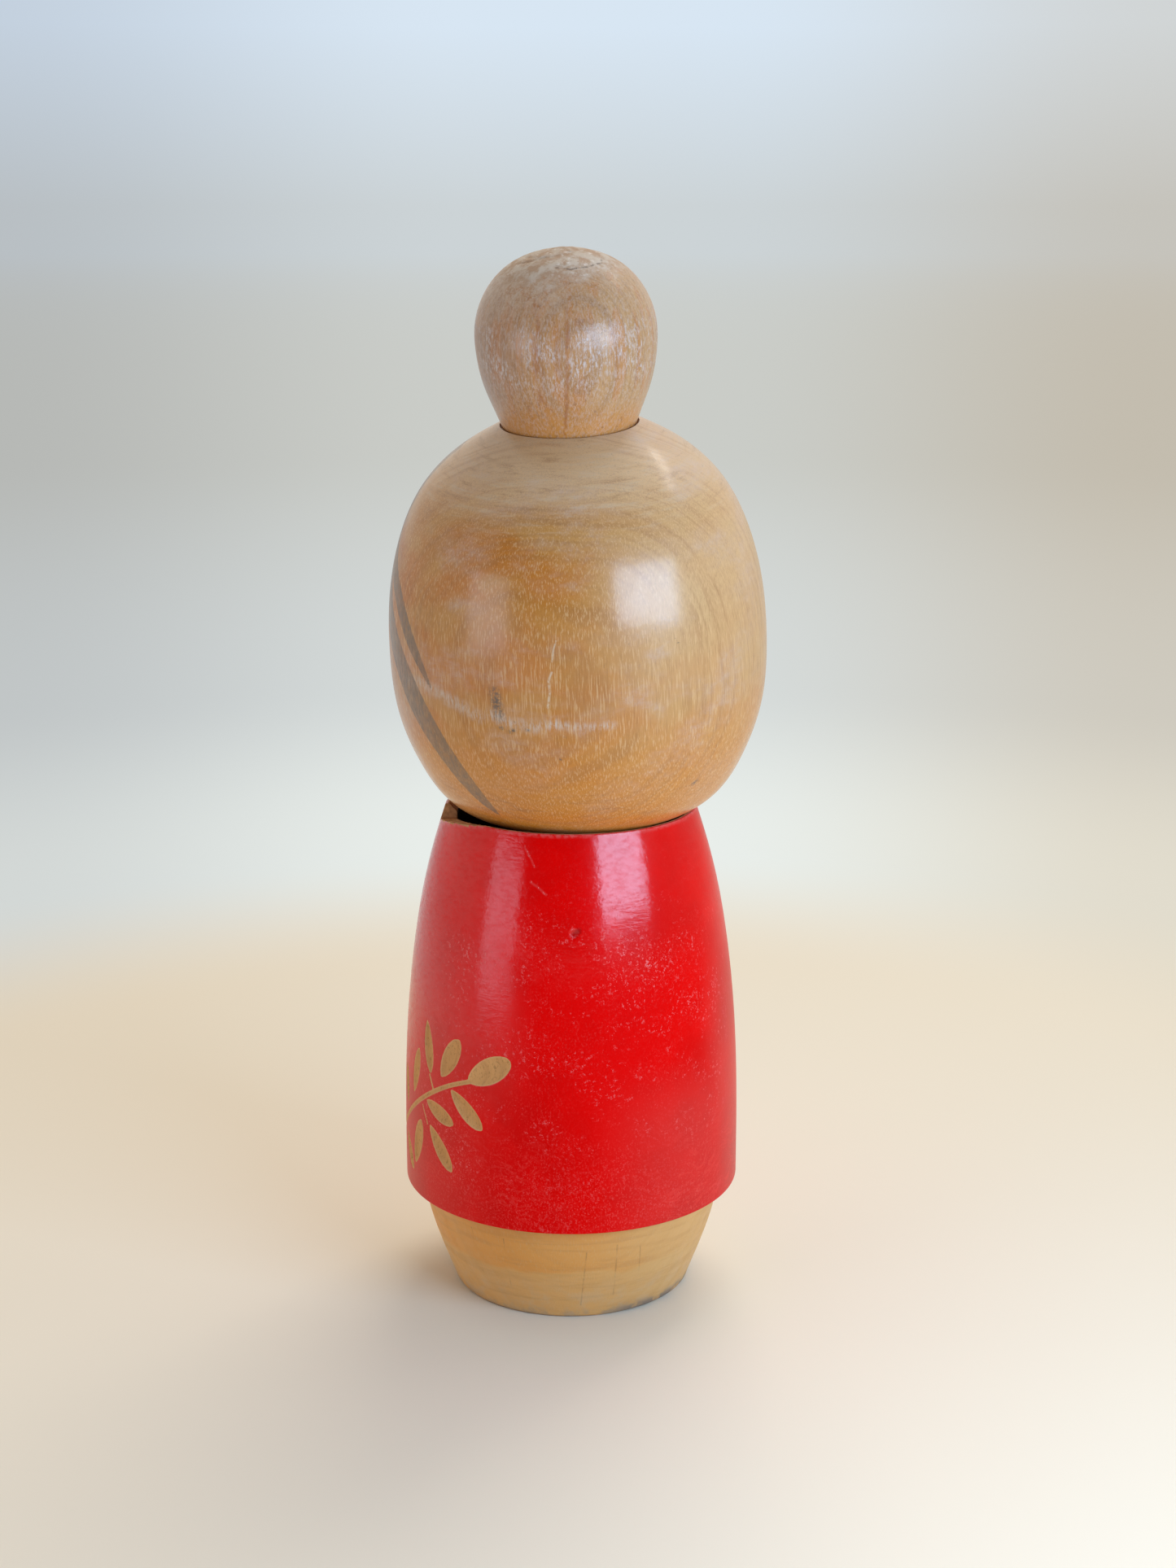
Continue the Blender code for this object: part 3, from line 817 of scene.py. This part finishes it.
def red_lacquer():
    """Red lacquer, glossy above and worn below, with bare wood in the cuts, the notch and the bore, and
    painted shade in the bore.
    """
    material, n = new_material("red_lacquer")
    rings, _, fibre = grain(n, -45, 33, 5)
    height, across = n.height(), n.across(LIT_SIDE)
    haze, chips, flecks = lacquer_wear(n, height, across)
    ripple = lathe_ripple(n)
    carved = n.span(n.layer("carved"), -0.05, 0.06)
    bare = n.span(n.layer("bare"), 0.35, 0.65)
    red = lacquer_colour(n, height, across, (haze, chips, flecks), ripple)
    colour = n.mix(carved, red, cut_wood(n, rings, fibre))
    bare_wood = n.mix(n.span(n.noise(0.8, 4, 0.6), 0.35, 0.65), rgb(220, 168, 118), rgb(182, 132, 90))
    colour = n.mix(bare, colour, bare_wood)
    # Painted shade: the bore's wall and floor are darkened almost to black.
    radius = n.vector("LENGTH", n.vector("MULTIPLY", n.place, (1, 1, 0)))
    hollow = n.times(n.span(radius, BORE_RADIUS + 0.25, BORE_RADIUS + 0.05), n.span(height, 40, 42))
    n.put("Base Color", n.mix(hollow, colour, rgb(54, 36, 24)))
    dull = n.most(carved, bare)
    wear = n.plus(haze, chips)
    n.put("Roughness", n.most(n.math("MULTIPLY_ADD", wear, 0.6, 0.32), n.times(dull, 0.6)))
    level = n.math("MULTIPLY_ADD", n.noise(0.5, 4, 0.6), 9, height)
    gloss = n.times(n.span(level, 57, 70, 0, 0.9), n.span(across, 11, 15, 1, 0.35))
    gloss = n.most(gloss, n.times(n.span(level, 34, 54, 0.1, 0.8), n.span(across, -2, -11)))
    coat = n.math("SUBTRACT", gloss, wear, clamp=True)
    coat = n.times(coat, n.span(n.noise(1.1, 5, 0.75, flat=0.7, tall=1.5), 0.36, 0.56, 0.62, 1))
    n.put("Coat Weight", n.times(coat, n.math("SUBTRACT", 1, dull)))
    n.put("Coat Roughness", 0.13)
    n.put("Specular IOR Level", 0.05)
    relief = n.plus(n.plus(n.times(fibre, 0.5), n.noise(0.9, 5, 0.65)), n.times(ripple, 0.4))
    n.put("Normal", n.bump(relief, 0.05, 0.5))
    turning = n.noise(1.3, 3, 0.65, flat=0.2, tall=2.2, offset=(2, 0, 4))
    orange_peel = n.plus(n.plus(n.noise(0.6, 3, 0.6), n.times(wear, 0.4)), n.times(turning, 0.4))
    n.put("Coat Normal", n.bump(orange_peel, 0.07, 0.6))
    return material


# ---- pieces ----

def notch_depth(azimuth):
    """How far the collar has dropped at an azimuth inside the notch."""
    along = (NOTCH_START - azimuth) / (NOTCH_START - NOTCH_END)
    return NOTCH_DEPTH * ((1 - NOTCH_CURVE) * along + NOTCH_CURVE * along ** 2)


def body_outline(underside, rim):
    """The body's smooth side, and its whole outline: socket, underside, side, rim, dish and bore."""
    socket = TENON_RADIUS + GAP
    tenon_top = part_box("foot")[1].z / MM + GAP
    base = BODY_SIDE[0][0] - BODY_ROUND
    side = smooth(BODY_SIDE, 0.2)
    kept = (side[:, 1] > underside + SIDE_MARGINS[0]) & (side[:, 1] < rim - SIDE_MARGINS[1])
    fine = (side[:, 1] > CARVED_BAND[0]) & (side[:, 1] < CARVED_BAND[1])
    fine |= np.abs(side[:, 1] - DENT[1]) < DENT_BAND
    fine[::3] = True
    side = side[kept & fine]
    return side, np.concatenate([
        chain((0, tenon_top), 4, (socket, tenon_top), 3, (socket, underside), 2, (base, underside)),
        arc((base, underside + BODY_ROUND), BODY_ROUND, -90, -5),
        side,
        arc((RIM_RADIUS - RIM_INSET, rim - RIM_ROUND), RIM_ROUND, 10, 90, 4),
        chain((RIM_RADIUS - LIP_WIDTH, rim), 0.4, (BORE_RADIUS, rim - DISH_DEPTH), 0.7,
              (BORE_RADIUS, BORE_FLOOR), 2, (0, BORE_FLOOR)),
        [(0, BORE_FLOOR)],
    ])


def carve(body, grid, side):
    """Cut the spray and the dent into the body, and give how deep inside a cut each point lies."""
    carved = np.full(grid.shape[:2], OUTSIDE)
    dig = np.zeros(grid.shape[:2])
    cuts = [(leaf_line(*leaf), leaf[2], LEAF_DEPTH) for leaf in LEAVES]
    cuts += [(stem, STEM_SLOPE, STEM_DEPTH) for stem in STEMS]
    for line, width, depth in cuts:
        inside = stroke_depth(grid, side, line)
        carved = np.maximum(carved, inside)
        hollow = 1 - (1 - np.clip(inside / width, 0, 1)) ** 2
        dig = np.maximum(dig, depth * hollow * (inside > 0))
    pit = np.array(on_surface(BODY_SIDE, *DENT))
    reach = np.linalg.norm(grid - pit, axis=-1) / DENT_RADIUS
    dig += DENT_DEPTH * np.clip(1 - reach ** 2, 0, 1)
    body.push(-dig)
    return carved


def cut_notch(body, grid, underside, rim):
    """Lower the collar in the notch, and give which points are bare and how far below the rim they are."""
    outline = body.outline
    degrees = np.degrees(body.azimuths)
    in_notch = (degrees > NOTCH_END) & (degrees < NOTCH_START)
    rough = 0.12 * wave(grid, 1.1, 3) + 0.05 * wave(grid, 0.4, 4)
    floor = np.where(in_notch, rim - notch_depth(degrees) + 0.5 * rough, rim + 1)
    lowered = (body.height > floor) & (body.height > BORE_FLOOR + 1)
    body.height = np.minimum(body.height, np.maximum(floor, BORE_FLOOR))
    bare = np.zeros(grid.shape[:2])
    row_bare = (outline[:, 1] <= underside + 0.05) | (outline[:, 0] < RIM_RADIUS - 0.3)
    row_bare |= (outline[:, 0] < 13) | (outline[:, 1] <= BORE_FLOOR) & (outline[:, 0] <= BORE_RADIUS)
    bare[row_bare] = 1.0
    bare[lowered] = 1.0
    step = np.abs(degrees - NOTCH_END) < 2 * NOTCH_STEP
    bare[:, step] = np.maximum(bare[:, step], body.height[:, step] > rim - NOTCH_DEPTH)
    return bare, np.minimum(floor, rim) - body.height


def make_body():
    """The body, with its carved spray and dent, and its collar cut down in the notch."""
    low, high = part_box("body")
    underside, rim = low.z / MM, high.z / MM
    side, outline = body_outline(underside, rim)
    azimuths = columns(COLUMN_STEP, FINE_STEP, *CARVED_ARC)
    azimuths = np.unique(np.concatenate([azimuths, [NOTCH_END - NOTCH_STEP, NOTCH_END + NOTCH_STEP]]))
    body = Turned(outline, azimuths)
    grid = body.points()
    carved = carve(body, grid, side)
    bare, edge = cut_notch(body, grid, underside, rim)
    body.layers = {"carved": np.clip(carved, -1, 1), "bare": bare, "edge": np.clip(edge, 0, 3)}
    return body.build("lacquered_body")


def make_foot():
    """The foot, with the tenon that holds it in the body."""
    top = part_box("body")[0].z / MM - GAP
    tenon_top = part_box("foot")[1].z / MM
    side = smooth(FOOT_SIDE, 0.35)
    base = FOOT_SIDE[0][0] - FOOT_EDGE
    outline = np.concatenate([
        straight((0, 0), (base, 0), 2),
        arc((base, FOOT_EDGE), FOOT_EDGE, -90, -12),
        side[:-1],
        chain((FOOT_SIDE[-1][0], top), 1.5, (TENON_RADIUS, top), 2,
              (TENON_RADIUS, tenon_top - TENON_BEVEL), 1,
              (TENON_RADIUS - TENON_BEVEL, tenon_top), 3, (0, tenon_top)),
        [(0, tenon_top)],
    ])
    return Turned(outline, np.arange(0, 360, 1.5)).build("turned_foot")


def mirrored(line):
    """The same brush stroke on the other side of the face."""
    return [(-azimuth, height, width) for azimuth, height, width in line]


def fringe():
    """Strokes of the fringe, from the crown down to the forehead, under one across their tops."""
    top_end = FRINGE_SPREAD * 0.75
    strokes = [[(-top_end, 26.6, 1.1), (0, 27.4, 1.3), (top_end, 26.6, 1.1)]]
    for k in range(FRINGE_COUNT):
        across = -1 + 2 * k / (FRINGE_COUNT - 1)
        top = top_end * across
        end = FRINGE_SPREAD * across
        tip = 12.2 - 2.2 * across ** 2 + 0.5 * math.cos(3.1 * k)
        strokes.append([(top, 26.8, 0.9), (0.5 * (top + end), 20.5, 1.5), (end, tip, 0.1)])
    return strokes


def make_head(matrix):
    """The head, bored for both pegs, with the brush strokes as values on its points."""
    neck = NECK_PEG_RADIUS + GAP
    hole = BUN_PEG_RADIUS + GAP
    roof = NECK_PEG_TOP + GAP
    seat = SEAT_HEIGHT - GAP
    floor = BUN_PEG_BOTTOM - GAP
    side = smooth(HEAD_SIDE, 0.45)
    outline = np.concatenate([
        chain((0, roof), 3, (neck, roof), 3, (neck, HEAD_UNDERSIDE), 1.5, HEAD_SIDE[0]),
        side[:-1],
        chain(HEAD_SIDE[-1], 0.4, (SEAT_RADIUS, seat), 2, (hole, seat), 3, (hole, floor), 2, (0, floor)),
        [(0, floor)],
    ])
    head = Turned(outline, np.arange(-180, 180, 0.9))
    grid = head.points()
    ink = np.full(grid.shape[:2], OUTSIDE)
    strokes = SIDE_LOCKS + [BROW, EYE]
    strokes = strokes + [mirrored(line) for line in strokes] + [NOSE] + fringe()
    for line in strokes:
        ink = np.maximum(ink, stroke_depth(grid, side, line))
    mouth = stroke_depth(grid, side, MOUTH)
    head.layers = {"ink": np.clip(ink, -1, 1), "mouth": np.clip(mouth, -1, 1)}
    return head.build("turned_head", matrix)


def make_bun(matrix):
    """The bun, bored for its peg, with a crown that is cracked and uneven."""
    hole = BUN_PEG_RADIUS + GAP
    base = BUN_SIDE[0][0] - BUN_ROUND
    roof = BUN_PEG_TOP + GAP
    seat = SEAT_HEIGHT - SEAT_PRESS
    side = smooth(BUN_SIDE, 0.3)
    outline = np.concatenate([
        chain((0, roof), 2, (hole, roof), 3, (hole, seat), 1.5, (base, seat)),
        arc((base, seat + BUN_ROUND), BUN_ROUND, -90, -10, 3),
        side,
    ])
    bun = Turned(outline, np.arange(0, 360, 1.25))
    grid = bun.points()
    crown = np.clip((bun.height - CROWN_HEIGHT) / 1.6, 0, 1)
    relief = 0.04 * wave(grid, 3, 21) - 0.05
    for crack, width, _ in BUN_CRACKS:
        inside = stroke_depth(grid, side, [(*point, width) for point in crack])
        relief -= CRACK_DEPTH * np.clip(1 + inside / CRACK_SLOPE, 0, 1)
    bun.push(crown * relief)
    return bun.build("turned_bun", matrix)


def cut_socket(body, matrix):
    """Bore the body for the neck peg, along the head's own axis."""
    radius = NECK_PEG_RADIUS + GAP
    depth = NECK_PEG_BOTTOM - GAP
    outline = [(0, depth), (radius, depth), (radius, SOCKET_MOUTH), (0, SOCKET_MOUTH)]
    cutter = Turned(outline, np.arange(0, 360, 6)).build("socket_cutter", matrix)
    modifier = body.modifiers.new("socket", "BOOLEAN")
    modifier.operation = "DIFFERENCE"
    modifier.solver = "EXACT"
    modifier.object = cutter
    bpy.context.view_layer.update()
    evaluated = body.evaluated_get(bpy.context.evaluated_depsgraph_get())
    bored = bpy.data.meshes.new_from_object(evaluated)
    body.modifiers.clear()
    body.data = bored
    bpy.data.objects.remove(cutter)


# ---- stage ----

# The floor, 30 m in radius, fades into a plain backdrop: each change is its start and end, in
# millimetres from the doll, and its colour.
FLOOR_RADIUS = 30.0
FLOOR_SIDES = 96
FADE = (155.0, 250.0)
NEAR_HAZE = rgb(233, 238, 234)
SKY_LOW = rgb(204, 211, 214)
SKY_HIGH = rgb(216, 230, 243)
HAZES = [
    (260, 480, rgb(214, 219, 218)),
    (380, 1300, rgb(202, 204, 199)),
    (1200, 9000, SKY_LOW),
]
LEFT_TINT = rgb(231, 231, 233)
RIGHT_TINT = rgb(247, 236, 224)

# The lamps: azimuth, distance, height, width and height of the lamp, radiance and colour.
LAMPS = {
    "window": (162, 260, 143, (184, 104), 11.6, (0.52, 0.71, 1)),
    "side_panel": (66.5, 400, 98, (182, 180), 2.8, (0.78, 0.83, 1)),
    "back_lamp": (243, 500, 685, (374, 32), 8.5, (1, 0.95, 0.88)),
    "skylight": (280, 450, 640, (420, 420), 4.7, (1, 0.96, 0.9)),
}
AIM_HEIGHT = 90


def tinted(n, colour, bearing):
    """A backdrop colour, a little darker on the left and warmer on the right."""
    colour = n.mix(n.span(bearing, -0.04, -0.24), colour, n.mix(1, colour, LEFT_TINT, "MULTIPLY"))
    return n.mix(n.span(bearing, 0.06, 0.24), colour, n.mix(1, colour, RIGHT_TINT, "MULTIPLY"))


def make_stage():
    """A round floor, which fades into the backdrop's own light away from the doll."""
    mesh = bpy.data.meshes.new("floor")
    rim = [tuple(compass(-360 * k / FLOOR_SIDES) * FLOOR_RADIUS) for k in range(FLOOR_SIDES)]
    mesh.from_pydata(rim, [], [tuple(range(FLOOR_SIDES))])
    material, n = new_material("floor")
    distance = n.vector("LENGTH", n.place)
    across = n.across(CAMERA_AZIMUTH + 90)
    colour = n.mix(n.span(across, -180, 180, soft=False), rgb(233, 222, 202), rgb(227, 218, 199))
    n.put("Base Color", colour)
    n.put("Roughness", 0.8)
    n.put("Specular IOR Level", 0.2)
    far = n.node("ShaderNodeEmission")
    haze = NEAR_HAZE
    for start, end, tone in HAZES:
        haze = n.mix(n.span(distance, start, end), haze, tone)
    bearing = n.math("DIVIDE", across, n.plus(distance, CAMERA_DISTANCE))
    n.link(tinted(n, haze, bearing), far.inputs["Color"])
    n.show_mixed("Material Output", n.span(distance, *FADE), n.shader, far)
    mesh.materials.append(material)
    add_object("floor", mesh)


def make_world():
    """A pale studio backdrop, which is dark only on the camera's side."""
    world = bpy.data.worlds.new("studio")
    bpy.context.scene.world = world
    world.use_nodes = True
    n = Nodes(world.node_tree, "Generated")
    shown = n.tree.nodes["Background"]
    across = n.across(CAMERA_AZIMUTH + 90)
    height = n.height()
    sky = n.mix(n.span(height, 0, 0.07, soft=False), SKY_LOW, SKY_HIGH)
    n.link(tinted(n, sky, across), shown.inputs["Color"])
    fill = n.node("ShaderNodeBackground")
    towards = compass(CAMERA_AZIMUTH) + Vector((0, 0, 0.1))
    facing = n.vector("DOT_PRODUCT", n.place, tuple(towards.normalized()))
    fill.inputs["Color"].default_value = rgb(255, 249, 240)
    n.link(n.span(facing, 0.12, 0.72, 0.69, 0.03), fill.inputs["Strength"])
    path = n.node("ShaderNodeLightPath")
    n.show_mixed("World Output", path.outputs["Is Camera Ray"], fill, shown)


def make_light(name, azimuth, distance, height, size, radiance, colour):
    """A rectangular soft light that faces the doll's middle. Its lengths are millimetres."""
    lamp = bpy.data.lights.new(name, "AREA")
    lamp.shape = "RECTANGLE"
    lamp.size, lamp.size_y = (side * MM for side in size)
    lamp.energy = radiance * math.pi * lamp.size * lamp.size_y
    lamp.color = colour
    item = add_object(name, lamp)
    item.location = (compass(azimuth) * distance + Vector((0, 0, height))) * MM
    away = item.location - Vector((0, 0, AIM_HEIGHT * MM))
    item.rotation_euler = away.to_track_quat("Z", "Y").to_euler()
    item.visible_camera = False


def make_lights():
    """All lamps. The skylight only fills: nothing reflects it."""
    for name, settings in LAMPS.items():
        make_light(name, *settings)
    bpy.data.objects["skylight"].visible_glossy = False


def make_camera():
    """A camera with its sensor fitted to the frame's height."""
    camera = bpy.data.cameras.new("camera")
    camera.sensor_fit = "VERTICAL"
    camera.sensor_height = SENSOR
    camera.lens = LENS
    item = add_object("camera", camera)
    item.location = compass(CAMERA_AZIMUTH) * CAMERA_DISTANCE * MM + Vector((0, 0, CAMERA_HEIGHT * MM))
    pitch = math.radians(CAMERA_PITCH)
    forward = compass(CAMERA_AZIMUTH + 180 - CAMERA_YAW) * math.cos(pitch) - Vector((0, 0, math.sin(pitch)))
    item.rotation_euler = forward.to_track_quat("-Z", "Y").to_euler()
    bpy.context.scene.camera = item


def head_matrix(joint):
    """Where the head's own axis stands, from the joint that it turns on."""
    lean = Vector((0, 0, 1)).rotation_difference(Vector(joint["axis"]))
    return Matrix.Translation(Vector(joint["pos_m"])) @ lean.to_matrix().to_4x4()


def dress(item, material, body, slot, *nodes):
    """Give a new piece its material, and let it stand for its CAD node."""
    item.data.materials.clear()
    item.data.materials.append(material)
    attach(item, body)
    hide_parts(*nodes)


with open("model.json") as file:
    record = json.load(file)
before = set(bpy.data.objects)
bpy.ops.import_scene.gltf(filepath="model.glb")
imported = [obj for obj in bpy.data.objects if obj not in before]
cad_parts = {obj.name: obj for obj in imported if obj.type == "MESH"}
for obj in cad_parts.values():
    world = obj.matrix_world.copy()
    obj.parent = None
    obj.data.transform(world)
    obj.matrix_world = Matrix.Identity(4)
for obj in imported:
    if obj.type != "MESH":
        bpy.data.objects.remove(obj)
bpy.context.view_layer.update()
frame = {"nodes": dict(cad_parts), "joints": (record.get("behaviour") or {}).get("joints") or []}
bpy.context.scene.view_settings.view_transform = "Standard"
on_head = head_matrix(frame["joints"][0])
body = make_body()
cut_socket(body, on_head)
dress(body, red_lacquer(), "torso", "red_lacquer", "body")
dress(make_foot(), foot_wood(), "torso", "foot_wood", "foot")
dress(make_head(on_head), head_wood(on_head), "head_assembly", "head_wood", "head")
dress(make_bun(on_head), bun_wood(on_head), "head_assembly", "bun_wood", "bun")
dowel = peg_wood()
for name in ("neck_peg", "bun_peg"):
    mesh = frame["nodes"][name].data
    mesh.materials.clear()
    mesh.materials.append(dowel)
make_stage()
make_world()
make_lights()
make_camera()
